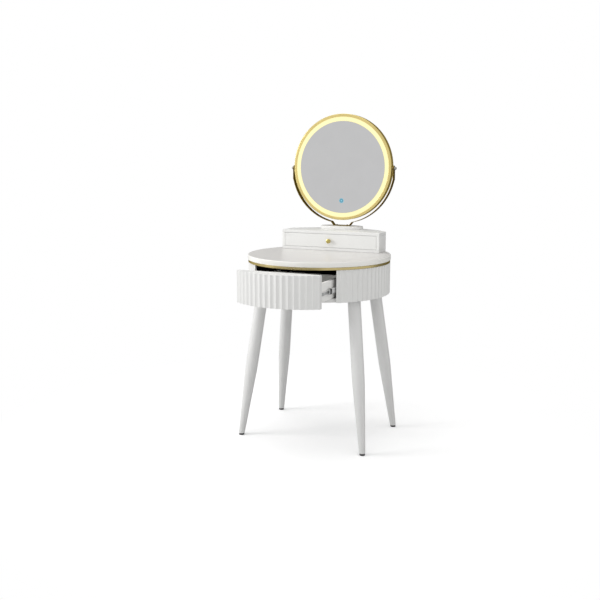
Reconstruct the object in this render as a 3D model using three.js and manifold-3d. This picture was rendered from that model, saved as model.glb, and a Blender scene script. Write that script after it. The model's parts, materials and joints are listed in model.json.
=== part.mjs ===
// A round vanity table: a fluted drum on four splayed legs, a wide drawer on ball slides, a small cabinet
// with a drawer of its own, and a lit round mirror that tilts in a flat yoke.
// Millimetres, +Z up, and -Y is the front. The origin is on the floor, under the middle of the object's box,
// and the wide drawer stands part-way open, so the round table's own centre is a little behind the origin.

import * as THREE from "three";
import { mergeVertices } from "three/addons/utils/BufferGeometryUtils.js";
import Module from "manifold-3d";

const wasm = await Module();
wasm.setup();

// ---- Driving dimensions -----------------------------------------------------------------------------

const clearance = 0.3; // between pieces that touch
const overcut = 1; // how far a cutting solid passes the faces that it cuts
const panelThickness = 12;

const top = { height: 755, radius: 290, thickness: 20, edgeRadius: 4, lowerChamfer: 1.5 };

const drum = {
  bottom: 600,
  ridgeRadius: 288.5, // to the crests between the flutes
  fluteDepth: 4.5,
  flutes: 80,
  wallThickness: 14,
  openingHalfWidth: 172.6,
  openingReveal: 3, // of the partitions' faces inside the opening's edges
  partitionHalfLength: 198,
  boardGap: 1, // round the bottom board
  railGap: 4, // from the slides' rear ends to the rail behind them
  upperBoardThickness: 10,
  bottomBoardThickness: 15,
};

const band = { radius: 288, thickness: 2 };

const leg = {
  topX: 200.5,
  topY: 115.5,
  footX: 269.7,
  footY: 183.4,
  radius: 25,
  footRadius: 12.3,
  taperStart: 283, // height above the floor where the straight part ends
  taperBlend: 14, // half of the length over which it bends into the taper
  plateThickness: 3,
  plateWidth: 64,
  plateScrewInset: 7,
  plateScrewHole: 2.2,
  studRadius: 4,
  studHoleRadius: 4.5,
  studHoleDepth: 12,
  studHeight: 10, // above the board's underside
  studRoot: 6, // inside the leg
  padRadius: 11,
  padHeight: 8,
};

const drawer = {
  opening: 142, // how far it stands open
  frontHalfWidth: 171.1,
  frontBack: -215.8, // plane of the front's flat inner side when closed
  frontTop: 723.2,
  capThickness: 12,
  boxHalfWidth: 156.6,
  boxDepth: 300,
  boxBottom: 617,
  boxTop: 687.5,
  backTop: 680.5,
  floorThickness: 4,
  floorHeight: 3, // of the floor panel above the sides' lower edge
};

// Telescopic ball slides: a rail on the partition, a runner on the drawer and a member between them.
const slide = {
  centreHeight: 649,
  length: 300,
  railFront: -198,
  middleFront: -206,
  runnerFront: -212,
  webGap: 0.9, // between the rail's web and the middle member's
  rail: { height: 27, depth: 12, metal: 1.2 },
  middle: { height: 19.4, depth: 8.5, metal: 1.1 },
  runner: { height: 13.6, depth: 8, metal: 1.2 },
};

const cabinet = {
  halfWidth: 220,
  front: 103,
  rearRadius: 287,
  height: 81.5,
  backThickness: 5,
};

const smallDrawer = {
  gap: 0.9, // round the inset front
  sideInset: 1, // of the sides inside the front's ends
  sideThickness: 9,
  sideHeight: 44,
  depth: 87, // from the front's outer face to the back
  floorThickness: 3,
  floorHeight: 3, // of the floor panel above the sides' lower edge
  knobRadius: 9.5,
  knobLength: 16,
};

const base = { halfWidth: 95.5, halfDepth: 45, centreY: 237, height: 13, roundness: 2.3 };

const yoke = {
  axisHeight: 1095, // of the tilt axis above the floor
  axisY: 241.3,
  width: 24,
  thickness: 2.5,
  tabX: 229.6,
  tabRise: 12, // above the axis
  tabDrop: 46, // below the axis
  arcRadius: 233.2,
  footHalfLength: 35.5,
  arcEndX: 48,
  tabBend: 6, // of height over which the tab turns into the arc
  screwX: 24,
  screwHoleRadius: 2.6,
};

// The screws that hold the yoke's foot down into the mirror's base.
const footScrew = { radius: 2.1, depth: 9, holeRadius: 2.8, holeDepth: 10, headRadius: 4.2, headHeight: 2.4 };

const mirror = {
  radius: 223,
  frontZ: 14, // of the frame's front face before the tilt axis
  depth: 27,
  centreRise: 3, // of the mirror's centre above the tilt axis
  lipInnerRadius: 211.5,
  lipThickness: 2.2,
  wallThickness: 3,
  edgeChamfer: 1.2,
  glassRadius: 193,
  glassThickness: 4,
  lensRadius: 10,
  lensDrop: 140.5, // of the touch sensor below the mirror's centre
  coverThickness: 2.5,
  hoopRadius: 194.5,
  hoopThickness: 3,
  inletDrop: 168,
};

const pivot = {
  shaftRadius: 3,
  holeRadius: 3.45,
  shaftEndX: 213,
  spacerRadius: 6.5,
  headRadius: 7,
  headLength: 9,
};

const inlet = {
  bodyRadius: 5.5,
  flangeRadius: 8,
  flangeThickness: 1.4,
  socketRadius: 2.9,
  pinRadius: 1.1,
  pinRecess: 1,
  floorThickness: 3,
  depth: 12,
};

const roundSegments = { drum: 80, mirror: 64, leg: 20, lens: 16, small: 12 };

// ---- Heights and places worked out from them --------------------------------------------------------

const topUnderside = top.height - top.thickness;
const upperBoardTop = topUnderside - clearance;
const upperBoardBottom = upperBoardTop - drum.upperBoardThickness;
const wallTop = upperBoardBottom - clearance;
const wallInnerRadius = drum.ridgeRadius - drum.wallThickness;
const boardRadius = wallInnerRadius - drum.boardGap;
const bottomBoardTop = drum.bottom + drum.bottomBoardThickness;
const partitionInner = drum.openingHalfWidth - drum.openingReveal;
const axleToRear = mirror.frontZ - mirror.depth;
const cabinetTop = top.height + clearance + cabinet.height;
const baseTop = cabinetTop + clearance + base.height;

// The table's centre sits behind the origin by half of what the open drawer adds in front.
const tableCentreY = (drum.ridgeRadius + drawer.opening - top.radius) / 2;

// The four legs, by side of the table.
const corners = [
  [-1, -1, "front_left"],
  [1, -1, "front_right"],
  [-1, 1, "rear_left"],
  [1, 1, "rear_right"],
];

// ---- Looks ------------------------------------------------------------------------------------------

const looks = {
  whiteLacquer: { color: 0xeeede9, roughness: 0.35, metalness: 0 },
  marbleTop: { color: 0xe9e8e6, roughness: 0.18, metalness: 0 },
  darkBoard: { color: 0x1d1c1b, roughness: 0.8, metalness: 0 },
  goldMetal: { color: 0xc2a04a, roughness: 0.28, metalness: 1 },
  bronzeMetal: { color: 0x8c6d33, roughness: 0.3, metalness: 1 },
  brightSteel: { color: 0xc8cacc, roughness: 0.3, metalness: 1 },
  blackRubber: { color: 0x141414, roughness: 0.7, metalness: 0 },
  blackPlastic: { color: 0x1c1c1e, roughness: 0.5, metalness: 0 },
  mirrorGlass: { color: 0xc9ccd0, roughness: 0.03, metalness: 1 },
  warmDiffuser: { color: 0xfff3b8, roughness: 0.5, metalness: 0 },
  ledBoard: { color: 0xf3efc9, roughness: 0.6, metalness: 0 },
  blueLens: { color: 0x4aa8d8, roughness: 0.2, metalness: 0 },
  whitePlastic: { color: 0xe6e5e1, roughness: 0.45, metalness: 0 },
};

// ---- Helpers ----------------------------------------------------------------------------------------

// A mesh of its own, with a material of its own.
function piece(name, geometry, look) {
  const mesh = new THREE.Mesh(geometry, new THREE.MeshStandardMaterial(look));
  mesh.name = name;
  return mesh;
}

// A three.js geometry as a manifold solid, for joining and cutting.
function solidOf(geometry) {
  const bare = geometry.clone();
  bare.deleteAttribute("normal");
  bare.deleteAttribute("uv");
  const merged = mergeVertices(bare, 1e-4);
  const triVerts = new Uint32Array(merged.index.array);
  const vertProperties = merged.attributes.position.array;
  return new wasm.Manifold(new wasm.Mesh({ numProp: 3, vertProperties, triVerts }));
}

// A manifold solid as a three.js geometry with flat faces.
function geometryOf(solid) {
  const { vertProperties, triVerts } = solid.getMesh();
  const indexed = new THREE.BufferGeometry();
  indexed.setAttribute("position", new THREE.BufferAttribute(vertProperties, 3));
  indexed.setIndex(new THREE.BufferAttribute(triVerts, 1));
  const geometry = indexed.toNonIndexed();
  geometry.computeVertexNormals();
  return geometry;
}

// A box given by its lowest and highest corners.
function block([x0, y0, z0], [x1, y1, z1]) {
  const geometry = new THREE.BoxGeometry(x1 - x0, y1 - y0, z1 - z0);
  return geometry.translate((x0 + x1) / 2, (y0 + y1) / 2, (z0 + z1) / 2);
}

// An outline in the XY plane, raised from z0 to z1.
function raised(shape, z0, z1, curveSegments = 12) {
  const geometry = new THREE.ExtrudeGeometry(shape, { depth: z1 - z0, bevelEnabled: false, curveSegments });
  return geometry.translate(0, 0, z0);
}

// A profile of [radius, height] pairs turned round the Z axis.
function turned(profile, segments) {
  const points = profile.map(([radius, height]) => new THREE.Vector2(radius, height));
  return new THREE.LatheGeometry(points, segments).rotateX(Math.PI / 2);
}

// A closed ring with a rectangular section, round the Z axis.
function ring(innerRadius, outerRadius, z0, z1, segments) {
  const profile = [
    [innerRadius, z0],
    [outerRadius, z0],
    [outerRadius, z1],
    [innerRadius, z1],
    [innerRadius, z0],
  ];
  return turned(profile, segments);
}

// A disc round the Z axis.
function disc(radius, z0, z1, segments) {
  const profile = [
    [0, z0],
    [radius, z0],
    [radius, z1],
    [0, z1],
  ];
  return turned(profile, segments);
}

// A flat strip's side view: its centre line with half of its thickness set off to each side.
function stripOutline(centreLine, thickness) {
  const direction = (i) => centreLine[i + 1].clone().sub(centreLine[i]).normalize();
  const last = centreLine.length - 1;
  const upper = [];
  const lower = [];
  centreLine.forEach((point, i) => {
    const into = direction(Math.max(i - 1, 0));
    const out = direction(Math.min(i, last - 1));
    const along = into.add(out).normalize();
    const reach = thickness / 2 / along.dot(out);
    const across = new THREE.Vector2(-along.y, along.x).multiplyScalar(reach);
    upper.push(point.clone().add(across));
    lower.unshift(point.clone().sub(across));
  });
  return new THREE.Shape([...upper, ...lower]);
}

// ---- Fluted drum ------------------------------------------------------------------------------------

// The drum's outer radius at an angle from the front: shallow scallops that meet in crests.
function flutedRadius(angle) {
  return drum.ridgeRadius - drum.fluteDepth * Math.abs(Math.sin((angle * drum.flutes) / 2));
}

// The whole fluted ring, before its opening is cut.
function flutedRing(z0, z1) {
  const stepsPerFlute = 4;
  const steps = drum.flutes * stepsPerFlute;
  const outline = [];
  for (let i = 0; i < steps; i++) {
    const angle = (2 * Math.PI * i) / steps;
    const radius = flutedRadius(angle);
    outline.push(new THREE.Vector2(radius * Math.sin(angle), -radius * Math.cos(angle)));
  }
  const shape = new THREE.Shape(outline);
  const hole = new THREE.Path();
  hole.absarc(0, 0, wallInnerRadius, 0, 2 * Math.PI, true);
  shape.holes.push(hole);
  return solidOf(raised(shape, z0, z1, drum.flutes));
}

// The fixed wall in two halves, which meet at the back and leave the drawer's opening at the front.
function drumWall(side) {
  const far = top.radius;
  const opening = block(
    [-drum.openingHalfWidth, -far, drum.bottom - overcut],
    [drum.openingHalfWidth, 0, wallTop + overcut],
  );
  const half = block(
    [side > 0 ? clearance / 2 : -far, -far, drum.bottom - overcut],
    [side > 0 ? far : -clearance / 2, far, wallTop + overcut],
  );
  return geometryOf(flutedRing(drum.bottom, wallTop).subtract(solidOf(opening)).intersect(solidOf(half)));
}

function tableTop() {
  const { radius, edgeRadius, lowerChamfer } = top;
  const profile = [
    [0, topUnderside],
    [radius - lowerChamfer, topUnderside],
    [radius, topUnderside + lowerChamfer],
  ];
  const roundSteps = 2;
  for (let i = 0; i <= roundSteps; i++) {
    const turn = (Math.PI / 2) * (i / roundSteps);
    profile.push([
      radius - edgeRadius + edgeRadius * Math.cos(turn),
      top.height - edgeRadius + edgeRadius * Math.sin(turn),
    ]);
  }
  profile.push([0, top.height]);
  return turned(profile, roundSegments.drum);
}

function trimBand() {
  return ring(
    band.radius - band.thickness,
    band.radius,
    upperBoardBottom,
    upperBoardTop,
    roundSegments.drum,
  );
}

function upperBoard() {
  return disc(band.radius - band.thickness - clearance, upperBoardBottom, upperBoardTop, roundSegments.drum);
}

// The bottom board, with a blind hole for each leg's stud.
function bottomBoard() {
  let board = solidOf(disc(boardRadius, drum.bottom, bottomBoardTop, roundSegments.drum));
  const { studHoleRadius, studHoleDepth, topX, topY } = leg;
  for (const [sideX, sideY] of corners) {
    const holeTop = drum.bottom + studHoleDepth;
    const hole = disc(studHoleRadius, drum.bottom - overcut, holeTop, roundSegments.small);
    board = board.subtract(solidOf(hole.translate(sideX * topX, sideY * topY, 0)));
  }
  return geometryOf(board);
}

// An upright board beside the drawer, from the bottom board to the upper one.
function partition(side) {
  const inner = side * partitionInner;
  const outer = side * (partitionInner + panelThickness);
  return block(
    [Math.min(inner, outer), -drum.partitionHalfLength, bottomBoardTop + clearance],
    [Math.max(inner, outer), drum.partitionHalfLength, wallTop],
  );
}

// The rail that ties the two partitions together behind the drawer.
function backRail() {
  const front = slide.railFront + slide.length + drum.railGap;
  return block(
    [-partitionInner + clearance, front, bottomBoardTop + clearance],
    [partitionInner - clearance, front + panelThickness, wallTop],
  );
}

function drumGroup() {
  const group = new THREE.Group();
  group.add(
    piece("table_top", tableTop(), looks.marbleTop),
    piece("gold_trim_band", trimBand(), looks.goldMetal),
    piece("upper_board", upperBoard(), looks.darkBoard),
    piece("bottom_board", bottomBoard(), looks.whiteLacquer),
    piece("drum_wall_left", drumWall(-1), looks.whiteLacquer),
    piece("drum_wall_right", drumWall(1), looks.whiteLacquer),
    piece("partition_left", partition(-1), looks.darkBoard),
    piece("partition_right", partition(1), looks.darkBoard),
    piece("back_rail", backRail(), looks.darkBoard),
  );
  return group;
}

// ---- Legs -------------------------------------------------------------------------------------------

const legTop = drum.bottom - clearance - leg.plateThickness - clearance;

// The leg's slope: how far its centre line moves outwards for each millimetre down.
const legSlope = new THREE.Vector2(leg.footX - leg.topX, leg.footY - leg.topY).divideScalar(drum.bottom);

// Turns an upright piece about the floor point of a leg, so that it leans along that leg's centre line.
function leaning(geometry, sideX, sideY) {
  const axis = new THREE.Vector3(-sideX * legSlope.x, -sideY * legSlope.y, 1).normalize();
  const turn = new THREE.Quaternion().setFromUnitVectors(new THREE.Vector3(0, 0, 1), axis);
  return geometry.applyQuaternion(turn).translate(sideX * leg.footX, sideY * leg.footY, 0);
}

// The part of a leaning piece between two levels, so that its ends are flat on what they meet.
function betweenLevels(geometry, z0, z1) {
  const far = leg.footX + top.radius;
  return solidOf(geometry).intersect(solidOf(block([-far, -far, z0], [far, far, z1])));
}

// Straight above, tapered below, cut level at both ends, with the threaded stud that holds it to the board.
function legBody(sideX, sideY) {
  const { radius, footRadius, padHeight, taperStart, taperBlend, studRadius, studHeight, studRoot } = leg;
  const stretch = Math.hypot(legSlope.x, legSlope.y, 1); // length along the leg for each millimetre of height
  const spare = 20; // cut off again at each end
  const bend = taperStart * stretch;
  const bendStep = ((radius - footRadius) * taperBlend) / bend; // narrower by now, on the taper's own slope
  const upperEnd = (drum.bottom + spare) * stretch;
  const profile = [
    [0, -spare],
    [footRadius, -spare],
    [footRadius, padHeight],
    [radius - bendStep, bend - taperBlend],
    [radius, bend + taperBlend],
    [radius, upperEnd],
    [0, upperEnd],
  ];
  const post = leaning(turned(profile, roundSegments.leg), sideX, sideY);
  const stud = disc(studRadius, legTop - studRoot, drum.bottom + studHeight, roundSegments.small);
  stud.translate(sideX * leg.topX, sideY * leg.topY, 0);
  return geometryOf(betweenLevels(post, padHeight, legTop).add(solidOf(stud)));
}

// The square steel plate between a leg and the bottom board, with a hole for the stud and four screw holes.
function legPlate(sideX, sideY) {
  const half = leg.plateWidth / 2;
  const holeAt = half - leg.plateScrewInset;
  const outline = [[-half, -half], [half, -half], [half, half], [-half, half]];
  const shape = new THREE.Shape(outline.map(([x, y]) => new THREE.Vector2(x, y)));
  const studHole = new THREE.Path();
  studHole.absarc(0, 0, leg.studHoleRadius, 0, 2 * Math.PI, true);
  shape.holes.push(studHole);
  for (const [cornerX, cornerY] of corners) {
    const screwHole = new THREE.Path();
    screwHole.absarc(cornerX * holeAt, cornerY * holeAt, leg.plateScrewHole, 0, 2 * Math.PI, true);
    shape.holes.push(screwHole);
  }
  const z0 = legTop + clearance;
  return raised(shape, z0, z0 + leg.plateThickness, 4).translate(sideX * leg.topX, sideY * leg.topY, 0);
}

// The glide under a leg, flat on the floor.
function footPad(sideX, sideY) {
  const { padRadius, padHeight } = leg;
  const pad = leaning(disc(padRadius, -padHeight, 2 * padHeight, roundSegments.leg), sideX, sideY);
  return geometryOf(betweenLevels(pad, 0, padHeight - clearance));
}

function legsGroup() {
  const group = new THREE.Group();
  for (const [sideX, sideY, where] of corners) {
    group.add(
      piece(`leg_${where}`, legBody(sideX, sideY), looks.whiteLacquer),
      piece(`leg_plate_${where}`, legPlate(sideX, sideY), looks.brightSteel),
      piece(`foot_pad_${where}`, footPad(sideX, sideY), looks.blackRubber),
    );
  }
  return group;
}

// ---- Main drawer, drawn closed and then pulled out by its group -------------------------------------

// The curved, fluted face of the drawer, cut from the same ring as the drum's wall.
function drawerSkin() {
  const { frontHalfWidth, frontTop } = drawer;
  const window = block(
    [-frontHalfWidth, -top.radius, drum.bottom - overcut],
    [frontHalfWidth, 0, frontTop + overcut],
  );
  return geometryOf(flutedRing(drum.bottom, frontTop).intersect(solidOf(window)));
}

// A level board that fills the front's curve from the skin back to the given plane.
function segmentBoard(y0, y1, z0, z1) {
  const curve = disc(wallInnerRadius - clearance, z0, z1, roundSegments.drum * 2);
  const strip = block(
    [-drawer.frontHalfWidth, y0, z0 - overcut],
    [drawer.frontHalfWidth, y1, z1 + overcut],
  );
  return geometryOf(solidOf(curve).intersect(solidOf(strip)));
}

function drawerCap() {
  return segmentBoard(-top.radius, drawer.frontBack, drawer.frontTop - drawer.capThickness, drawer.frontTop);
}

function drawerInnerBoard() {
  const underCap = drawer.frontTop - drawer.capThickness - clearance;
  return segmentBoard(drawer.frontBack - panelThickness, drawer.frontBack, drawer.boxBottom, underCap);
}

const boxFront = drawer.frontBack + clearance;
const boxBack = boxFront + drawer.boxDepth;
const boxInner = drawer.boxHalfWidth - panelThickness;

function drawerSide(side) {
  const near = side * boxInner;
  const far = side * drawer.boxHalfWidth;
  return block(
    [Math.min(near, far), boxFront, drawer.boxBottom],
    [Math.max(near, far), boxBack, drawer.boxTop],
  );
}

function drawerBack() {
  const halfWidth = boxInner - clearance;
  return block(
    [-halfWidth, boxBack - panelThickness, drawer.boxBottom],
    [halfWidth, boxBack, drawer.backTop],
  );
}

function drawerFloor() {
  const halfWidth = boxInner - clearance;
  const z0 = drawer.boxBottom + drawer.floorHeight;
  return block(
    [-halfWidth, boxFront, z0],
    [halfWidth, boxBack - panelThickness - clearance, z0 + drawer.floorThickness],
  );
}

// A channel along Y, open towards `facing` along X: a web with two flanges. It stands at the slides' height.
function channel(webX, facing, { height, depth, metal }, front) {
  const half = height / 2;
  const outline = [
    [0, -half],
    [depth, -half],
    [depth, -half + metal],
    [metal, -half + metal],
    [metal, half - metal],
    [depth, half - metal],
    [depth, half],
    [0, half],
  ].map(([across, up]) => new THREE.Vector2(facing * across, up));
  if (facing < 0) outline.reverse();
  const geometry = raised(new THREE.Shape(outline), 0, slide.length);
  return geometry.rotateX(Math.PI / 2).translate(webX, front + slide.length, slide.centreHeight);
}

const railWebX = partitionInner - clearance;

// The fixed rail, screwed to the partition.
function slideRail(side) {
  return channel(side * railWebX, -side, slide.rail, slide.railFront);
}

// The middle member, which runs in the rail and carries the runner.
function slideMiddle(side) {
  return channel(side * (railWebX - slide.rail.metal - slide.webGap), -side, slide.middle, slide.middleFront);
}

// The runner, screwed to the drawer's side.
function slideRunner(side) {
  return channel(side * (drawer.boxHalfWidth + clearance), side, slide.runner, slide.runnerFront);
}

function mainDrawerGroup() {
  const group = new THREE.Group();
  group.position.y = -drawer.opening;
  group.add(
    piece("main_drawer_front", drawerSkin(), looks.whiteLacquer),
    piece("main_drawer_front_cap", drawerCap(), looks.whiteLacquer),
    piece("main_drawer_inner_board", drawerInnerBoard(), looks.whiteLacquer),
    piece("main_drawer_side_left", drawerSide(-1), looks.whiteLacquer),
    piece("main_drawer_side_right", drawerSide(1), looks.whiteLacquer),
    piece("main_drawer_back", drawerBack(), looks.whiteLacquer),
    piece("main_drawer_floor", drawerFloor(), looks.whiteLacquer),
    piece("slide_runner_left", slideRunner(-1), looks.brightSteel),
    piece("slide_runner_right", slideRunner(1), looks.brightSteel),
  );
  return group;
}

// The middle members follow the drawer at half its speed, so they stand out by half of its opening.
function slidesGroup() {
  const middles = new THREE.Group();
  middles.position.y = -drawer.opening / 2;
  middles.add(
    piece("slide_middle_left", slideMiddle(-1), looks.brightSteel),
    piece("slide_middle_right", slideMiddle(1), looks.brightSteel),
  );
  const group = new THREE.Group();
  group.add(
    piece("slide_rail_left", slideRail(-1), looks.brightSteel),
    piece("slide_rail_right", slideRail(1), looks.brightSteel),
    middles,
  );
  return group;
}

// ---- Small cabinet and its drawer, on the table top -------------------------------------------------

// The cabinet's plan: flat front and sides, and a back that follows the round top.
function cabinetPlan() {
  const { halfWidth, front, rearRadius } = cabinet;
  const cornerAngle = Math.acos(halfWidth / rearRadius);
  const shape = new THREE.Shape();
  shape.moveTo(-halfWidth, front);
  shape.lineTo(halfWidth, front);
  shape.absarc(0, 0, rearRadius, cornerAngle, Math.PI - cornerAngle, false);
  shape.closePath();
  return shape;
}

const cabinetBottom = top.height + clearance;
const cabinetFloor = cabinetBottom + panelThickness;
const cabinetCeiling = cabinetTop - panelThickness;
const cabinetInner = cabinet.halfWidth - panelThickness;

function cabinetBoard(z0) {
  return raised(cabinetPlan(), z0, z0 + panelThickness, 24);
}

// A side board, whose rear end follows the round back.
function cabinetSide(side) {
  const { halfWidth, front, rearRadius } = cabinet;
  const outerAngle = Math.acos(halfWidth / rearRadius);
  const innerAngle = Math.acos(cabinetInner / rearRadius);
  const start = side > 0 ? outerAngle : Math.PI - outerAngle;
  const end = side > 0 ? innerAngle : Math.PI - innerAngle;
  const shape = new THREE.Shape();
  shape.moveTo(side * cabinetInner, front);
  shape.lineTo(side * halfWidth, front);
  shape.absarc(0, 0, rearRadius, start, end, side < 0);
  shape.closePath();
  return raised(shape, cabinetFloor + clearance, cabinetCeiling - clearance, 4);
}

// The thin curved panel that closes the back between the two sides.
function cabinetBack() {
  const { rearRadius, backThickness } = cabinet;
  const innerRadius = rearRadius - backThickness;
  const halfWidth = cabinetInner - clearance;
  const outerAngle = Math.acos(halfWidth / rearRadius);
  const innerAngle = Math.acos(halfWidth / innerRadius);
  const shape = new THREE.Shape();
  shape.absarc(0, 0, rearRadius, outerAngle, Math.PI - outerAngle, false);
  shape.absarc(0, 0, innerRadius, Math.PI - innerAngle, innerAngle, true);
  shape.closePath();
  return raised(shape, cabinetFloor + clearance, cabinetCeiling - clearance, 20);
}

const smallFrontBack = cabinet.front + panelThickness;
const smallBottom = cabinetFloor + smallDrawer.gap;
const smallHalfWidth = cabinetInner - smallDrawer.gap;
const smallRear = cabinet.front + smallDrawer.depth;

function smallFront() {
  return block(
    [-smallHalfWidth, cabinet.front, smallBottom],
    [smallHalfWidth, smallFrontBack, cabinetCeiling - smallDrawer.gap],
  );
}

const smallOuter = smallHalfWidth - smallDrawer.sideInset;
const smallInner = smallOuter - smallDrawer.sideThickness - clearance;

function smallSide(side) {
  const far = side * smallOuter;
  const near = side * (smallOuter - smallDrawer.sideThickness);
  return block(
    [Math.min(near, far), smallFrontBack + clearance, smallBottom],
    [Math.max(near, far), smallRear, smallBottom + smallDrawer.sideHeight],
  );
}

function smallBack() {
  return block(
    [-smallInner, smallRear - smallDrawer.sideThickness, smallBottom],
    [smallInner, smallRear, smallBottom + smallDrawer.sideHeight],
  );
}

function smallFloor() {
  const z0 = smallBottom + smallDrawer.floorHeight;
  return block(
    [-smallInner, smallFrontBack + clearance, z0],
    [smallInner, smallRear - smallDrawer.sideThickness - clearance, z0 + smallDrawer.floorThickness],
  );
}

// A flared knob with a short neck, turned about the drawer's pulling direction.
function smallKnob() {
  const { knobRadius, knobLength } = smallDrawer;
  const profile = [
    [0, 0],
    [knobRadius * 0.62, 0],
    [knobRadius * 0.45, knobLength * 0.3],
    [knobRadius * 0.55, knobLength * 0.5],
    [knobRadius, knobLength * 0.78],
    [knobRadius, knobLength * 0.9],
    [knobRadius * 0.86, knobLength],
    [0, knobLength],
  ];
  const middle = (smallBottom + cabinetCeiling - smallDrawer.gap) / 2;
  const knob = turned(profile, roundSegments.small).rotateX(Math.PI / 2);
  return knob.translate(0, cabinet.front - clearance, middle);
}

function cabinetGroup() {
  const group = new THREE.Group();
  group.add(
    piece("cabinet_top_board", cabinetBoard(cabinetCeiling), looks.whiteLacquer),
    piece("cabinet_bottom_board", cabinetBoard(cabinetBottom), looks.whiteLacquer),
    piece("cabinet_side_left", cabinetSide(-1), looks.whiteLacquer),
    piece("cabinet_side_right", cabinetSide(1), looks.whiteLacquer),
    piece("cabinet_back_panel", cabinetBack(), looks.whiteLacquer),
    piece("small_drawer_front", smallFront(), looks.whiteLacquer),
    piece("small_drawer_side_left", smallSide(-1), looks.whiteLacquer),
    piece("small_drawer_side_right", smallSide(1), looks.whiteLacquer),
    piece("small_drawer_back", smallBack(), looks.whiteLacquer),
    piece("small_drawer_floor", smallFloor(), looks.whiteLacquer),
    piece("small_drawer_knob", smallKnob(), looks.goldMetal),
  );
  return group;
}

// ---- Mirror stand -----------------------------------------------------------------------------------

// The low block on the cabinet: an oval with slightly squared ends and two blind holes for screws.
function mirrorBase() {
  const { halfWidth, halfDepth, centreY, roundness } = base;
  const steps = 48;
  const outline = [];
  for (let i = 0; i < steps; i++) {
    const angle = (2 * Math.PI * i) / steps;
    const x = halfWidth * Math.sign(Math.cos(angle)) * Math.abs(Math.cos(angle)) ** (2 / roundness);
    const y = halfDepth * Math.sign(Math.sin(angle)) * Math.abs(Math.sin(angle)) ** (2 / roundness);
    outline.push(new THREE.Vector2(x, y + centreY));
  }
  let body = solidOf(raised(new THREE.Shape(outline), cabinetTop + clearance, baseTop));
  for (const side of [-1, 1]) {
    const { holeRadius, holeDepth } = footScrew;
    const hole = disc(holeRadius, baseTop - holeDepth, baseTop + overcut, roundSegments.small);
    body = body.subtract(solidOf(hole.translate(side * yoke.screwX, yoke.axisY, 0)));
  }
  return geometryOf(body);
}

// The yoke's centre line seen from the front, from the left tab's top to the right one's.
function yokeCentreLine(footHeight) {
  const { tabX, tabRise, tabDrop, tabBend, arcRadius, arcEndX, footHalfLength } = yoke;
  const arcSteps = 18;
  const arcStart = Math.asin((tabDrop + tabBend) / arcRadius);
  const arcEnd = Math.acos(arcEndX / arcRadius);
  const right = [new THREE.Vector2(footHalfLength, footHeight)];
  for (let i = 0; i <= arcSteps; i++) {
    const angle = arcEnd + ((arcStart - arcEnd) * i) / arcSteps;
    right.push(new THREE.Vector2(arcRadius * Math.cos(angle), -arcRadius * Math.sin(angle)));
  }
  right.push(new THREE.Vector2(tabX, -tabDrop), new THREE.Vector2(tabX, tabRise));
  const left = right.map((point) => new THREE.Vector2(-point.x, point.y)).reverse();
  return [...left, ...right];
}

// A bent flat strip, with a hole in each tab for a pivot screw and two in its foot.
function mirrorYoke() {
  const footHeight = baseTop + clearance + yoke.thickness / 2 - yoke.axisHeight;
  const outline = stripOutline(yokeCentreLine(footHeight), yoke.thickness);
  const strip = raised(outline, -yoke.width / 2, yoke.width / 2).rotateX(Math.PI / 2);
  let body = solidOf(strip);
  const pivotHoles = disc(pivot.holeRadius, -mirror.radius * 2, mirror.radius * 2, roundSegments.small);
  body = body.subtract(solidOf(pivotHoles.rotateY(Math.PI / 2)));
  for (const side of [-1, 1]) {
    const reach = yoke.thickness + overcut;
    const hole = disc(yoke.screwHoleRadius, footHeight - reach, footHeight + reach, roundSegments.small);
    body = body.subtract(solidOf(hole.translate(side * yoke.screwX, 0, 0)));
  }
  return geometryOf(body).translate(0, yoke.axisY, yoke.axisHeight);
}

// A round-headed screw that holds the yoke's foot down.
function yokeScrew(side) {
  const { radius, depth, headRadius, headHeight } = footScrew;
  const underHead = baseTop + clearance + yoke.thickness + clearance;
  const profile = [
    [0, baseTop - depth],
    [radius, baseTop - depth],
    [radius, underHead],
    [headRadius, underHead],
    [0.85 * headRadius, underHead + 0.65 * headHeight],
    [0.4 * headRadius, underHead + headHeight],
    [0, underHead + headHeight],
  ];
  return turned(profile, roundSegments.small).translate(side * yoke.screwX, yoke.axisY, 0);
}

// ---- Mirror -----------------------------------------------------------------------------------------
// Drawn lying flat, with +Z towards the person and +Y up, and stood up by its group.

const glassFront = mirror.frontZ - mirror.lipThickness - clearance;
const glassRear = glassFront - mirror.glassThickness;
const wallInner = mirror.radius - mirror.wallThickness;

// The gilt frame: a deep rim with a flat lip in front, and a hole at each side for the pivot screws.
function frameRing() {
  const { radius, frontZ, edgeChamfer, lipInnerRadius, lipThickness, centreRise } = mirror;
  const profile = [
    [wallInner, axleToRear],
    [radius - edgeChamfer, axleToRear],
    [radius, axleToRear + edgeChamfer],
    [radius, frontZ - edgeChamfer],
    [radius - edgeChamfer, frontZ],
    [lipInnerRadius, frontZ],
    [lipInnerRadius, frontZ - lipThickness],
    [wallInner, frontZ - lipThickness],
    [wallInner, axleToRear],
  ];
  const reach = radius + overcut;
  const holes = disc(pivot.holeRadius, -reach, reach, roundSegments.small).rotateY(Math.PI / 2);
  const body = solidOf(turned(profile, roundSegments.mirror));
  return geometryOf(body.subtract(solidOf(holes.translate(0, -centreRise, 0))));
}

// The mirror glass, with a round hole for the touch sensor's lens.
function mirrorGlass() {
  const glass = disc(mirror.glassRadius, glassRear, glassFront, roundSegments.mirror);
  const lensHole = mirror.lensRadius + clearance;
  const hole = disc(lensHole, glassRear - overcut, glassFront + overcut, roundSegments.lens);
  return geometryOf(solidOf(glass).subtract(solidOf(hole.translate(0, -mirror.lensDrop, 0))));
}

function touchLens() {
  const lens = disc(mirror.lensRadius, glassRear, glassFront, roundSegments.lens);
  return lens.translate(0, -mirror.lensDrop, 0);
}

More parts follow.
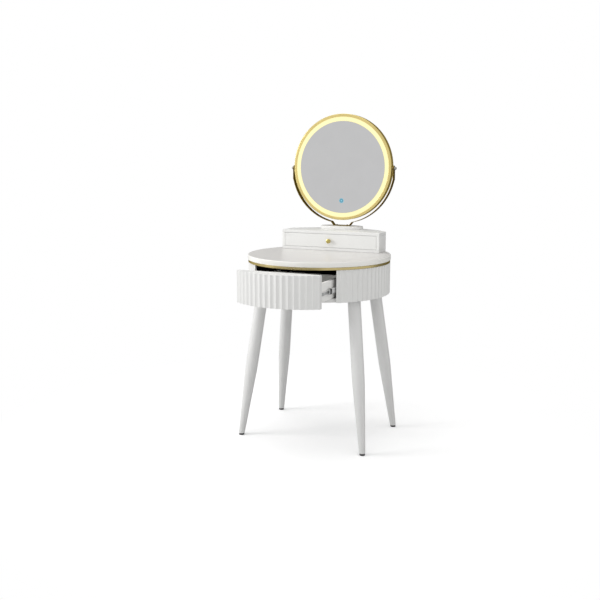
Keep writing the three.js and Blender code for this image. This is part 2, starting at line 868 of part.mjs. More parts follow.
// The frosted ring that glows round the glass.
function diffuserRing() {
  return ring(
    mirror.glassRadius + clearance,
    wallInner - clearance,
    glassRear,
    glassFront,
    roundSegments.mirror,
  );
}

const coverFront = axleToRear + mirror.coverThickness;

// The flat disc that closes the frame from behind, with a hole for the inlet.
function rearCover() {
  const cover = disc(wallInner - clearance, axleToRear, coverFront, roundSegments.mirror);
  const inletHole = inlet.bodyRadius + clearance;
  const hole = disc(inletHole, axleToRear - overcut, coverFront + overcut, roundSegments.small);
  return geometryOf(solidOf(cover).subtract(solidOf(hole.translate(0, -mirror.inletDrop, 0))));
}

// The hoop between the cover and the glass: it backs the seam round the glass and carries the strip of lamps.
function lampHoop() {
  const { hoopRadius, hoopThickness } = mirror;
  const rear = coverFront + clearance;
  return ring(hoopRadius - hoopThickness, hoopRadius, rear, glassRear - clearance, roundSegments.mirror);
}

// The round power socket in the rear cover, with its centre pin.
function powerInlet() {
  const { bodyRadius, flangeRadius, flangeThickness, socketRadius, pinRadius, pinRecess, depth } = inlet;
  const flangeFront = axleToRear - clearance;
  const mouth = flangeFront - flangeThickness;
  const socketFloor = mouth + depth - inlet.floorThickness;
  const profile = [
    [0, mouth + pinRecess],
    [pinRadius, mouth + pinRecess],
    [pinRadius, socketFloor],
    [socketRadius, socketFloor],
    [socketRadius, mouth],
    [flangeRadius, mouth],
    [flangeRadius, flangeFront],
    [bodyRadius, flangeFront],
    [bodyRadius, mouth + depth],
    [0, mouth + depth],
  ];
  return turned(profile, roundSegments.small).translate(0, -mirror.inletDrop, 0);
}

// Points a piece that was turned about Z outwards along X, on the mirror's left or right.
function sideways(geometry, side) {
  return geometry.rotateY((side * Math.PI) / 2);
}

// The thumb screw that the mirror turns on: a shaft through spacer and tab, and a tapered head outside.
function pivotScrew(side) {
  const underHead = yoke.tabX + yoke.thickness / 2 + clearance;
  const profile = [
    [0, pivot.shaftEndX],
    [pivot.shaftRadius, pivot.shaftEndX],
    [pivot.shaftRadius, underHead],
    [pivot.headRadius, underHead],
    [pivot.headRadius, underHead + pivot.headLength * 0.45],
    [pivot.headRadius * 0.6, underHead + pivot.headLength],
    [0, underHead + pivot.headLength],
  ];
  return sideways(turned(profile, roundSegments.small), side);
}

// The bush that keeps the mirror's rim clear of the yoke.
function pivotSpacer(side) {
  const z0 = mirror.radius + clearance;
  const z1 = yoke.tabX - yoke.thickness / 2 - clearance;
  return sideways(ring(pivot.holeRadius, pivot.spacerRadius, z0, z1, roundSegments.small), side);
}

function mirrorGroup() {
  const head = new THREE.Group();
  head.position.set(0, mirror.centreRise, 0);
  head.add(
    piece("mirror_frame_ring", frameRing(), looks.goldMetal),
    piece("mirror_glass", mirrorGlass(), looks.mirrorGlass),
    piece("light_diffuser_ring", diffuserRing(), looks.warmDiffuser),
    piece("touch_sensor_lens", touchLens(), looks.blueLens),
    piece("mirror_rear_cover", rearCover(), looks.whitePlastic),
    piece("lamp_hoop", lampHoop(), looks.ledBoard),
    piece("power_inlet", powerInlet(), looks.blackPlastic),
  );
  const onAxis = new THREE.Group();
  onAxis.position.set(0, yoke.axisY, yoke.axisHeight);
  onAxis.rotation.x = Math.PI / 2;
  onAxis.add(head);
  for (const [side, where] of [
    [-1, "left"],
    [1, "right"],
  ]) {
    onAxis.add(
      piece(`pivot_screw_${where}`, pivotScrew(side), looks.bronzeMetal),
      piece(`pivot_spacer_${where}`, pivotSpacer(side), looks.bronzeMetal),
    );
  }
  const group = new THREE.Group();
  group.add(
    piece("mirror_base", mirrorBase(), looks.whiteLacquer),
    piece("mirror_yoke", mirrorYoke(), looks.bronzeMetal),
    piece("yoke_screw_left", yokeScrew(-1), looks.bronzeMetal),
    piece("yoke_screw_right", yokeScrew(1), looks.bronzeMetal),
    onAxis,
  );
  return group;
}

// ---- The whole table --------------------------------------------------------------------------------

const table = new THREE.Group();
table.position.y = tableCentreY;
table.add(drumGroup(), legsGroup(), mainDrawerGroup(), slidesGroup(), cabinetGroup(), mirrorGroup());

const vanity = new THREE.Group();
vanity.add(table);

export default vanity;
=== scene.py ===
"""The looks of a round vanity table with a lit mirror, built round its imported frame.

Metres, +Z up, and -Y is the front. Every piece stands for one CAD node, or is a small fitting on one,
and takes its place and size from that node's box.
"""

import json
import math

import bmesh
import bpy
from mathutils import Matrix, Vector


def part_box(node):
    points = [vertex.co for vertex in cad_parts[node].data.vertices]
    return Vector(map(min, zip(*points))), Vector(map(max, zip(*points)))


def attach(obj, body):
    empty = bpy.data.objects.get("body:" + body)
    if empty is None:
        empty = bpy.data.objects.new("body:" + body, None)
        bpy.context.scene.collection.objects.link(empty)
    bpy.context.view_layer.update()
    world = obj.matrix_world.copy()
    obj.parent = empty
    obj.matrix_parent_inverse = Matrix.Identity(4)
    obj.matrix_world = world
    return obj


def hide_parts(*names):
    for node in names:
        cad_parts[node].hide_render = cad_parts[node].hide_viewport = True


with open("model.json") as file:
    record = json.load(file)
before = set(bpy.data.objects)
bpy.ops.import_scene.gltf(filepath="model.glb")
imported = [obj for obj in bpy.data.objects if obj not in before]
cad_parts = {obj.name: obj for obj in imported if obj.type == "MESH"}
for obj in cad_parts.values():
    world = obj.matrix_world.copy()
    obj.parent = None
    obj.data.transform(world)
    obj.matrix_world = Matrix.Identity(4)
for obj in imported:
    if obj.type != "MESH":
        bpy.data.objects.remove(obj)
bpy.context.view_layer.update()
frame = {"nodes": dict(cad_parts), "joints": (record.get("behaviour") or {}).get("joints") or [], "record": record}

# ---- What the frame says ------------------------------------------------------------------------

record = frame["record"]
slot_of = {part["node"]: part["material_slot"] for part in record["subparts"]}
body_of = {node: body for body, nodes in record["behaviour"]["bodies"].items() for node in nodes}
SIDES = {"left": -1, "right": 1}

MM = 0.001
TAU = 2 * math.pi

top_low, top_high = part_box("table_top")
TABLE_CENTRE = Vector((0, (top_low.y + top_high.y) / 2, 0))
RIDGE_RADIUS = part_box("drum_wall_right")[1].x
FLUTES = 80
FLUTE_DEPTH = 4.5 * MM
CREST_SOFTNESS = 0.1  # how round the crests are, as a share of the flute's depth
WALL_THICKNESS = 14 * MM
OPENING_GAP = 1.5 * MM  # between the drawer front and the walls beside it
JOINT_GAP = 0.3 * MM  # between pieces that touch
DRAWER_CENTRE = Vector((0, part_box("main_drawer_front")[0].y + RIDGE_RADIUS, 0))

frame_low, frame_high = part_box("mirror_frame_ring")
MIRROR_CENTRE = (frame_low + frame_high) / 2
MIRROR_RADIUS = (frame_high.x - frame_low.x) / 2
pivot_joint = next(joint for joint in frame["joints"] if joint["name"] == "mirror_tilt")
PIVOT = Vector(pivot_joint["pos_m"])

LEG_RADIUS = 25 * MM
FOOT_RADIUS = 12.3 * MM
TAPER_HEIGHT = 0.283  # where the straight upper part of a leg ends
PAD_RADIUS = 11 * MM
PLATE_SCREW_INSET = 7 * MM
SLIDE_METAL = 1.2 * MM
SLEEVE_LENGTH = 16 * MM
SLEEVE_SETBACK = 6 * MM  # behind the slide member's front end
BACK_THICKNESS = 5 * MM
BASE_ROUNDNESS = 2.3  # 2 is a true ellipse
YOKE_THICKNESS = 2.5 * MM
YOKE_ARC_RADIUS = 0.2332
YOKE_ARC_END = 48 * MM  # from the middle, where the arc bends down to the foot
YOKE_FOOT = 35.5 * MM  # half of the flat foot's length
TAB_DROP = 46 * MM  # of the straight tab below the pivots
TAB_BEND = 6 * MM
LIP_RADIUS = 0.2115  # of the opening in the mirror's frame
LIP_THICKNESS = 2.2 * MM
RIM_THICKNESS = 3 * MM
PIVOT_SHAFT_RADIUS = 3 * MM
INLET_BODY_RADIUS = 5.5 * MM
SOCKET_RADIUS = 2.9 * MM
PIN_RADIUS = 1.1 * MM

# Stands a shape that was turned round Z up, so that its +Z looks to the front and its +Y upwards.
FACING_FRONT = Matrix.Rotation(math.pi / 2, 4, "X")


# ---- Materials ----------------------------------------------------------------------------------

def feed(tree, socket, value):
    """Links an output to a socket, or sets the socket to a number, colour or vector."""
    if isinstance(value, bpy.types.NodeSocket):
        tree.links.new(value, socket)
    else:
        socket.default_value = value


def add_node(tree, kind, inputs=(), **settings):
    """A new node with its settings, and its inputs linked or set by name or number."""
    made = tree.nodes.new("ShaderNode" + kind)
    for setting, value in settings.items():
        setattr(made, setting, value)
    for socket, value in dict(inputs).items():
        feed(tree, made.inputs[socket], value)
    return made


class Look:
    """A Principled material with short ways to wire its procedural detail."""

    def __init__(self, name, color, roughness, metallic=0.0, **sockets):
        self.material = bpy.data.materials.new(name)
        self.material.use_nodes = True
        self.tree = self.material.node_tree
        self.shader = self.tree.nodes["Principled BSDF"]
        self.color = color
        self.set("Base Color", (*color, 1))
        self.set("Roughness", roughness)
        self.set("Metallic", metallic)
        for socket, value in sockets.items():
            self.set(socket.replace("_", " "), value)
        coordinates = self.node("TexCoord")
        self.place = coordinates.outputs["Object"]
        self.facing = coordinates.outputs["Normal"]

    def set(self, socket, value):
        """Sets or links one of the shader's sockets."""
        feed(self.tree, self.shader.inputs[socket], value)

    def node(self, kind, inputs=(), **settings):
        """A new node in this material."""
        return add_node(self.tree, kind, inputs, **settings)

    def maths(self, operation, *values):
        """The result of arithmetic on numbers or outputs."""
        return self.node("Math", dict(enumerate(values)), operation=operation).outputs[0]

    def stretched(self, scale):
        """The surface's own coordinates, scaled along each axis."""
        return self.node("Mapping", {"Vector": self.place, "Scale": scale}).outputs["Vector"]

    def off_axis(self):
        """The distance from the surface's own Z axis."""
        split = self.node("SeparateXYZ", {0: self.place})
        flat = self.node("CombineXYZ", {"X": split.outputs["X"], "Y": split.outputs["Y"]})
        return self.node("VectorMath", {0: flat.outputs[0]}, operation="LENGTH").outputs["Value"]

    def round_z(self, along, across):
        """Coordinates that run round the Z axis: fine across the rings, and slow along them."""
        split = self.node("SeparateXYZ", {0: self.place})
        fine_radius = self.maths("MULTIPLY", self.off_axis(), across)
        fine_height = self.maths("MULTIPLY", split.outputs["Z"], across)
        angle = self.maths("ARCTAN2", split.outputs["Y"], split.outputs["X"])
        slow = self.maths("MULTIPLY", angle, along)
        return self.node("CombineXYZ", {"X": fine_radius, "Y": slow, "Z": fine_height}).outputs[0]

    def noise(self, scale, detail=3.0, where=None, distortion=0.0):
        inputs = {"Vector": where or self.place, "Scale": scale, "Detail": detail, "Distortion": distortion}
        return self.node("TexNoise", inputs).outputs["Fac"]

    def between(self, value, low, high, start=0.3, end=0.7):
        """The value spread over a range of numbers."""
        inputs = {"Value": value, "From Min": start, "From Max": end, "To Min": low, "To Max": high}
        return self.node("MapRange", inputs, interpolation_type="SMOOTHSTEP").outputs["Result"]

    def mixed(self, share, first, second):
        """Two colours mixed; each is three numbers or an output."""
        made = self.node("Mix", {0: share}, data_type="RGBA")
        for socket, color in zip((made.inputs[6], made.inputs[7]), (first, second)):
            is_output = isinstance(color, bpy.types.NodeSocket)
            feed(self.tree, socket, color if is_output else (*color, 1))
        return made.outputs[2]

    def shaded(self, amount):
        """The material's own colour, made darker or lighter."""
        return tuple(channel * amount for channel in self.color)

    def mottled(self, pattern, darker, lighter):
        """The material's own colour, between two shades of it as a pattern says."""
        return self.mixed(self.between(pattern, 0, 1), self.shaded(darker), self.shaded(lighter))

    def edges(self, start=0.52, end=0.62):
        """One on convex edges and zero on flat faces."""
        pointed = self.node("NewGeometry").outputs["Pointiness"]
        return self.between(pointed, 0, 1, start, end)

    def bump(self, *layers):
        """Bumps of (height output, depth in metres) laid over each other."""
        normal = None
        for height, depth in layers:
            inputs = {"Height": height, "Distance": depth, "Strength": 1.0}
            if normal:
                inputs["Normal"] = normal
            normal = self.node("Bump", inputs).outputs["Normal"]
        self.set("Normal", normal)


def lacquer(name, color, roughness, waviness):
    """Sprayed satin lacquer: faint orange peel, cloudy gloss, and a painted highlight that makes convex edges and
    crests lighter.
    """
    look = Look(name, color, roughness, Specular_IOR_Level=0.35, Coat_Weight=0.1, Coat_Roughness=0.2)
    clouds = look.mottled(look.noise(6, 4), 0.975, 1.015)
    # Painted highlight: convex edges and flute crests are made lighter than the flat faces.
    look.set("Base Color", look.mixed(look.edges(), clouds, look.shaded(1.06)))
    look.set("Roughness", look.between(look.noise(55, 5), roughness - 0.06, roughness + 0.08))
    look.bump((look.noise(30, 2), waviness), (look.noise(900, 2), 0.02 * MM))
    return look.material


def marble(name, color, roughness, rim_painted_lighter):
    """Satin marble-pattern laminate: pale clouds, long faint grey veins, and an upright rim painted lighter than
    the top to make up for the light the top catches from above.
    """
    look = Look(name, color, roughness, Specular_IOR_Level=0.25)
    drift = look.noise(2.6, 1.2, distortion=1.1)
    off_vein = look.maths("ABSOLUTE", look.maths("SUBTRACT", drift, 0.5))
    on_vein = look.between(off_vein, 1, 0, 0, 0.022)
    strength = look.between(look.noise(4, 2), 0.05, 0.5)
    clouds = look.mottled(look.noise(5, 5, distortion=0.8), 0.985, 1.012)
    veined = look.mixed(look.maths("MULTIPLY", on_vein, strength), clouds, look.shaded(0.86))
    # Painted light: faces that stand upright take the lighter rim colour, because they catch less light than the
    # top.
    facing = look.node("SeparateXYZ", {0: look.facing}).outputs["Z"]
    painted_light_on_rim = look.between(facing, 1, 0, 0.5, 0.95)
    look.set("Base Color", look.mixed(painted_light_on_rim, veined, rim_painted_lighter))
    look.set("Roughness", look.between(look.noise(7, 2), roughness - 0.02, roughness + 0.03, 0.2, 0.8))
    look.bump((look.noise(60, 2), 0.004 * MM))
    return look.material


def board(name, color, roughness, grain, shine=0.3):
    """Foil board with a faint straight grain; made nearly black, as dark_board, it is painted shade for the inside
    of the drum.
    """
    look = Look(name, color, roughness, Specular_IOR_Level=shine)
    fibres = look.noise(1, 5, look.stretched((260, 14, 260)), distortion=0.4)
    look.set("Base Color", look.mottled(fibres, 1 - grain, 1 + grain))
    look.set("Roughness", look.between(look.noise(90, 4), roughness - 0.08, roughness + 0.1))
    look.bump((fibres, 0.03 * MM))
    return look.material


def turned_metal(name, color, roughness, brushing):
    """Plated or anodised metal, brushed round the Z axis, with faint smudges and a painted highlight on its convex
    edges.
    """
    look = Look(name, color, roughness, 1.0, Specular_Tint=(*color, 1))
    lines = look.noise(1, 3, look.round_z(3, 1500))
    smudges = look.noise(16, 3)
    tone = look.mottled(smudges, 0.97, 1.02)
    brushed = look.mixed(look.between(lines, 0, brushing), tone, look.shaded(0.93))
    # Painted highlight: convex edges are made lighter than the flat faces.
    look.set("Base Color", look.mixed(look.edges(0.56, 0.7), brushed, look.shaded(1.1)))
    look.set("Roughness", look.between(smudges, roughness - 0.025, roughness + 0.04))
    look.bump((lines, 0.0004 * MM))
    return look.material


def rolled_metal(name, color, roughness, grain, metallic=1.0):
    """Plated strip or sheet with fine lines along Y, cloudy plating and a painted highlight on its convex edges.
    """
    look = Look(name, color, roughness, metallic, Specular_Tint=(*color, 1))
    lines = look.noise(1, 3, look.stretched((900, 20, 900)))
    plating = look.noise(30, 3)
    tone = look.mottled(plating, 1 - grain, 1 + grain)
    # Painted highlight: convex edges are made lighter than the flat faces.
    look.set("Base Color", look.mixed(look.edges(0.56, 0.7), tone, look.shaded(1.15)))
    look.set("Roughness", look.between(plating, roughness - 0.03, roughness + 0.05))
    look.bump((lines, 0.0008 * MM))
    return look.material


def moulded(name, color, roughness, texture):
    """Moulded plastic or rubber with a fine spark-eroded texture."""
    look = Look(name, color, roughness)
    patches = look.noise(30, 4)
    look.set("Base Color", look.mottled(patches, 0.98, 1.02))
    look.set("Roughness", look.between(patches, roughness - 0.03, roughness + 0.05))
    look.bump((look.noise(2200, 3), texture))
    return look.material


def silvered_glass(name, color):
    """A mirror: silver behind clear glass, with the faintest wiped haze."""
    look = Look(name, color, 0.02, 1.0)
    haze = look.noise(14, 5, distortion=0.6)
    look.set("Base Color", look.mottled(haze, 0.99, 1.01))
    look.set("Roughness", look.between(haze, 0.012, 0.035))
    return look.material


def frosted_light(name, color, glow):
    """Frosted plastic lit from behind: a little deeper at the ring's edges, with a fine frosted grain."""
    look = Look(name, color, 0.5, Specular_IOR_Level=0.1)
    lamp_radius = (LIP_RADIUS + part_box("mirror_glass")[1].x) / 2
    off_lamp = look.maths("ABSOLUTE", look.maths("SUBTRACT", look.off_axis(), lamp_radius))
    fading = look.between(off_lamp, 0, 1, 4 * MM, 14 * MM)
    edge_glow = (glow[0] * 0.97, glow[1] * 0.9, glow[2] * 0.72)
    look.set("Emission Color", look.mixed(fading, glow, edge_glow))
    look.set("Emission Strength", 1.0)
    grain = look.noise(900, 2)
    look.set("Base Color", look.mottled(grain, 0.97, 1.03))
    look.bump((grain, 0.01 * MM))
    return look.material


def touch_light(name, color, glow):
    """The touch sensor's window: a bright dot in a dimmer ring, with a lit rim, under a clear blue lens."""
    look = Look(name, color, 0.15)
    lens_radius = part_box("touch_sensor_lens")[1].x
    radius = look.off_axis()
    outside_dot = look.between(radius, 0, 1, 0.18 * lens_radius, 0.4 * lens_radius)
    inside_rim = look.between(radius, 1, 0, 0.76 * lens_radius, lens_radius)
    dim_glow = tuple(channel * 0.35 for channel in glow)
    ring = look.maths("MULTIPLY", outside_dot, inside_rim)
    look.set("Emission Color", look.mixed(ring, glow, dim_glow))
    look.set("Emission Strength", 1.0)
    look.bump((look.noise(500, 2), 0.004 * MM))
    return look.material


# Each material slot's kind of finish, and what that kind's function takes after the name.
FINISHES = {
    "white_lacquer": (lacquer, (0.785, 0.785, 0.77), 0.38, 0.05 * MM),
    "base_lacquer": (lacquer, (0.75, 0.745, 0.73), 0.34, 0.04 * MM),
    # leg_lacquer is a slightly greyer copy of white_lacquer: painted shade for the legs standing under the table.
    "leg_lacquer": (lacquer, (0.76, 0.76, 0.75), 0.38, 0.08 * MM),
    "drawer_board": (board, (0.93, 0.925, 0.90), 0.48, 0.012),
    # The marble's last colour is its upright rim's, painted lighter than the top as painted light.
    "marble_top": (marble, (0.65, 0.635, 0.615), 0.3, (0.88, 0.87, 0.83)),
    # dark_board is nearly black as painted shade: it makes the drum's inside read as deep shadow.
    "dark_board": (board, (0.006, 0.005, 0.004), 0.9, 0.25, 0.06),
    "gold_trim": (turned_metal, (0.58, 0.48, 0.23), 0.28, 0.3),
    "frame_gold": (turned_metal, (0.72, 0.58, 0.235), 0.29, 0.25),
    "yoke_metal": (rolled_metal, (0.31, 0.235, 0.085), 0.24, 0.04),
    "screw_metal": (turned_metal, (0.40, 0.40, 0.38), 0.25, 0.3),
    "gold_knob": (turned_metal, (0.54, 0.44, 0.15), 0.2, 0.2),
    "slide_steel": (rolled_metal, (0.78, 0.785, 0.78), 0.42, 0.04, 0.5),
    "plate_steel": (rolled_metal, (0.46, 0.47, 0.48), 0.35, 0.07),
    "foot_rubber": (moulded, (0.08, 0.08, 0.08), 0.7, 0.03 * MM),
    "mirror_glass": (silvered_glass, (0.64, 0.64, 0.645)),
    "light_diffuser": (frosted_light, (0.30, 0.28, 0.18), (0.78, 0.72, 0.38)),
    "touch_lens": (touch_light, (0.05, 0.12, 0.17), (0.19, 0.53, 0.66)),
    "rear_plastic": (moulded, (0.80, 0.795, 0.78), 0.5, 0.05 * MM),
    "led_board": (moulded, (0.85, 0.82, 0.62), 0.5, 0.01 * MM),
    "black_plastic": (moulded, (0.02, 0.02, 0.021), 0.45, 0.02 * MM),
}

looks = {name: kind(name, *settings) for name, (kind, *settings) in FINISHES.items()}


# ---- Outlines -----------------------------------------------------------------------------------

def filleted(corners, closed=True, steps=5):
    """An outline through corners of (x, y, radius), with an arc in each corner that has a radius."""
    outline = []
    count = len(corners)
    for i, (x, y, radius) in enumerate(corners):
        at_end = not closed and i in (0, count - 1)
        if radius <= 0 or at_end:
            outline.append((x, y))
            continue
        here = Vector((x, y))
        arriving = (here - Vector(corners[i - 1][:2])).normalized()
        leaving = (Vector(corners[(i + 1) % count][:2]) - here).normalized()
        turn = arriving.angle_signed(leaving)  # clockwise is positive
        reach = radius * math.tan(abs(turn) / 2)
        inward = (leaving - arriving).normalized() * (radius / math.cos(turn / 2))
        middle = here + inward
        spoke = here - arriving * reach - middle
        for k in range(steps + 1):
            angle = -turn * k / steps
            across = spoke.x * math.cos(angle) - spoke.y * math.sin(angle)
            up = spoke.x * math.sin(angle) + spoke.y * math.cos(angle)
            outline.append((middle.x + across, middle.y + up))
    return outline


def circle(radius, segments, centre=(0, 0)):
    """Points round a circle, from +X towards +Y."""
    angles = [TAU * i / segments for i in range(segments)]
    return [(centre[0] + radius * math.cos(a), centre[1] + radius * math.sin(a)) for a in angles]


def rounded_rectangle(x0, x1, y0, y1, radius, steps=4):
    corners = [(x0, y0, radius), (x1, y0, radius), (x1, y1, radius), (x0, y1, radius)]
    return filleted(corners, steps=steps)


def arc(radius, start, end, steps):
    """Points on a circle round the origin, with angles measured from the front, towards +X."""
    angles = [start + (end - start) * i / steps for i in range(steps + 1)]
    return [(radius * math.sin(a), -radius * math.cos(a)) for a in angles]


# ---- Solids -------------------------------------------------------------------------------------

def add_turned(shape, profile, segments, place=Matrix(), reshaped=None):
    """Adds a profile of (radius, height) turned round Z, which ends on the axis or is a closed ring."""
    rings = []
    for radius, height in profile:
        count = segments if radius > 0 else 1
        turns = [TAU * i / count for i in range(count)]
        points = [Vector((radius * math.cos(t), radius * math.sin(t), height)) for t in turns]
        if reshaped:
            points = [reshaped(point) for point in points]
        rings.append([shape.verts.new(place @ point) for point in points])
    pairs = list(zip(rings, rings[1:]))
    if profile[0][0] > 0:
        pairs.append((rings[-1], rings[0]))
    for near, far in pairs:
        for i in range(segments):
            here, there = near[i % len(near)], far[i % len(far)]
            next_here, next_there = near[(i + 1) % len(near)], far[(i + 1) % len(far)]
            corners = dict.fromkeys((here, next_here, next_there, there))
            shape.faces.new(list(corners))


def add_loft(shape, sections):
    """Adds a skin over closed sections of equal length, with both ends capped."""
    rows = [[shape.verts.new(point) for point in section] for section in sections]
    for near, far in zip(rows, rows[1:]):
        for i in range(len(near)):
            shape.faces.new((near[i - 1], near[i], far[i], far[i - 1]))
    shape.faces.new(rows[0])
    shape.faces.new(rows[-1])


def add_plate(shape, outline, z0, z1, holes=(), place=Matrix()):
    """Adds a flat plate with this outline and holes, from z0 up to z1."""
    loops = [outline, *holes]
    layers = []
    for z in (z0, z1):
        rims = [[shape.verts.new(place @ Vector((x, y, z))) for x, y in loop] for loop in loops]
        layers.append(rims)
        if holes:
            edges = [shape.edges.new((rim[i - 1], rim[i])) for rim in rims for i in range(len(rim))]
            bmesh.ops.triangle_fill(shape, use_beauty=True, use_dissolve=False, edges=edges)
        else:
            shape.faces.new(rims[0])
    for low, high in zip(*layers):
        for i in range(len(low)):
            shape.faces.new((low[i - 1], low[i], high[i], high[i - 1]))


def add_block(shape, low, high):
    """Adds a box between two corners."""
    middle = (Vector(low) + Vector(high)) / 2
    size = Vector(high) - Vector(low)
    bmesh.ops.create_cube(shape, size=1, matrix=Matrix.Translation(middle) @ Matrix.Diagonal((*size, 1)))


def finished(name, shape, material, softness=0.0, place=Matrix(), limit=38, flat=False):
    """The shape as an object with its finish, and with its sharp edges rounded by `softness` metres."""
    bmesh.ops.recalc_face_normals(shape, faces=shape.faces)
    mesh = bpy.data.meshes.new(name)
    shape.to_mesh(mesh)
    shape.free()
    mesh.materials.append(material)
    piece = bpy.data.objects.new(name, mesh)
    bpy.context.scene.collection.objects.link(piece)
    piece.matrix_world = place
    if softness:
        rounding = piece.modifiers.new("rounded_edges", "BEVEL")
        rounding.width = softness
        rounding.segments = 3
        rounding.limit_method = "ANGLE"
        rounding.angle_limit = math.radians(limit)
    if not flat:
        mesh.shade_smooth()
        shading = piece.modifiers.new("even_shading", "WEIGHTED_NORMAL")
        shading.keep_sharp = True
    return piece


def stand_for(piece, *nodes):
    """The piece takes the place of these CAD nodes on their body, and the nodes are hidden."""
    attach(piece, body_of[nodes[0]])
    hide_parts(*nodes)


def fitting(name, shape, node, slot, place=Matrix()):
    """The shape as a small fitting on a CAD node's body, finished in the look of the given material slot."""
    piece = finished(name, shape, looks[slot], place=place)
    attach(piece, body_of[node])


def piece_for(node, shape, softness=0.0, place=Matrix(), **settings):
    """The shape, finished in the node's own look, in place of the node."""
    piece = finished(node + "_piece", shape, looks[slot_of[node]], softness, place, **settings)
    stand_for(piece, node)


def block_for(node, softness):
    """A straight board with softened edges, just as large as its CAD node."""
    shape = bmesh.new()
    add_block(shape, *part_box(node))
    piece_for(node, shape, softness)


def turned_for(node, profile, segments, place=Matrix(), reshaped=None):
    """A turned piece for a CAD node."""
    shape = bmesh.new()
    add_turned(shape, profile, segments, reshaped=reshaped)
    piece_for(node, shape, place=place)


def plate_for(node, outline, softness, holes=(), place=Matrix()):
    """A level flat piece, as high as its CAD node, with its outline drawn round the given place."""
    low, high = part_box(node)
    shape = bmesh.new()
    add_plate(shape, outline, low.z, high.z, holes)
    piece_for(node, shape, softness, place)


def add_screw_head(shape, place, radius, height):
    """Adds a domed screw head with a cross recess. It stands on the place's XY plane."""
    arm_width = 0.16 * radius  # half of it
    arm_reach = 0.62 * radius
    recess_depth = 0.45 * height

    def recessed(point):
        """Sinks the top inside the two arms of a cross."""
        off_arm = min(abs(point.x), abs(point.y))
        along_arm = max(abs(point.x), abs(point.y))
        if point.z > height / 2 and off_arm < arm_width and along_arm < arm_reach:
            point.z -= recess_depth
        return point

    rings = 9
    rises = [TAU / 4 * i / rings for i in range(rings)]
    dome = [(radius * math.cos(rise), height * (0.35 + 0.65 * math.sin(rise))) for rise in rises]
    profile = [(0, 0), (radius, 0), *dome, (0, height)]
    add_turned(shape, profile, 40, place, recessed)


# ---- Top and drum -------------------------------------------------------------------------------

def fluted_radius(angle):
    """The drum's outer radius at an angle from the front: shallow hollows that meet in soft crests."""
    wave = math.sin(angle * FLUTES / 2)
    return RIDGE_RADIUS - FLUTE_DEPTH * (math.hypot(wave, CREST_SOFTNESS) - CREST_SOFTNESS)


def angle_at(x, radius, behind):
    """The angle from the front at which a circle passes x, on its front half or behind."""
    angle = math.asin(x / radius)
    return math.copysign(math.pi, x) - angle if behind else angle


def wall_end(x, behind=False):
    """The angles at which the plane at x cuts the wall's outer and inner faces."""
    outer = angle_at(x, RIDGE_RADIUS, behind)
    for _ in range(4):
        outer = angle_at(x, fluted_radius(outer), behind)
    return outer, angle_at(x, RIDGE_RADIUS - WALL_THICKNESS, behind)


def flute_angles(start, end):
    """Angles from one end to the other, closer together at the crests than in the hollows."""
    steps = 14
    crowding = 0.8
    margin = 0.02 * TAU / FLUTES
    angles = []
    for k in range(steps * FLUTES + 1):
        share = k / steps
        angle = (share - crowding * math.sin(TAU * share) / TAU) * TAU / FLUTES - math.pi
        if start + margin < angle < end - margin:
            angles.append(angle)
    return [start, *angles, end]


def fluted_wall(node, centre, start, end):
    """A stretch of the fluted wall between two cut ends, as high as its CAD node."""
    low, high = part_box(node)
    inner_radius = RIDGE_RADIUS - WALL_THICKNESS
    sections = []
    for outer in flute_angles(start[0], end[0]):
        share = (outer - start[0]) / (end[0] - start[0])
        inner = start[1] + (end[1] - start[1]) * share
        corners = [(inner, inner_radius), (outer, fluted_radius(outer))]
        points = [(radius * math.sin(angle), -radius * math.cos(angle)) for angle, radius in corners]
        lower = [(*point, low.z) for point in points]
        upper = [(*point, high.z) for point in reversed(points)]
        sections.append(lower + upper)
    shape = bmesh.new()
    add_loft(shape, sections)
    piece_for(node, shape, 0.9 * MM, Matrix.Translation(centre), limit=50)


def drum_walls():
    """The two walls, from the drawer's opening round to the seam at the back."""
    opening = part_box("main_drawer_front")[1].x + OPENING_GAP
    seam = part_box("drum_wall_right")[0].x
    fluted_wall("drum_wall_right", TABLE_CENTRE, wall_end(opening), wall_end(seam, behind=True))
    fluted_wall("drum_wall_left", TABLE_CENTRE, wall_end(-seam, behind=True), wall_end(-opening))


def turned_board(node, lower_edge, upper_edge):
    """A round board with rounded rims, as wide and as thick as its CAD node."""
    low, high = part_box(node)
    radius = (high.x - low.x) / 2
    corners = [(0, low.z, 0), (radius, low.z, lower_edge), (radius, high.z, upper_edge), (0, high.z, 0)]
    turned_for(node, filleted(corners, closed=False), 256, place=Matrix.Translation(TABLE_CENTRE))


def trim_band():
    """The gold strip under the top, slightly crowned."""
    low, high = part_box("gold_trim_band")
    radius = high.x
    inner = radius - 2 * MM
    corners = [(inner, low.z, 0), (radius, low.z, 0.9 * MM), (radius, high.z, 0.9 * MM), (inner, high.z, 0)]
    turned_for("gold_trim_band", filleted(corners), 256, place=Matrix.Translation(TABLE_CENTRE))


def top_and_drum():
    turned_board("table_top", 1.5 * MM, 4 * MM)
    turned_board("bottom_board", 1.5 * MM, 0.5 * MM)
    turned_board("upper_board", 0.5 * MM, 0.5 * MM)
    trim_band()
    drum_walls()
    # The partitions and the back rail wear dark_board, painted shade for the dark inside of the drum.
    for node in ("partition_left", "partition_right", "back_rail"):
        block_for(node, 0.6 * MM)


# ---- Legs ---------------------------------------------------------------------------------------

def leg_line(where):
    """A leg's centre line as a function of height, from its plate's middle to its foot pad's."""
    plate_low, plate_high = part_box("leg_plate_" + where)
    pad_low, pad_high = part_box("foot_pad_" + where)
    above = (plate_low + plate_high) / 2
    below = (pad_low + pad_high) / 2
    slope = (above - below) / (above.z - below.z)
    return lambda z: below + slope * (z - below.z)


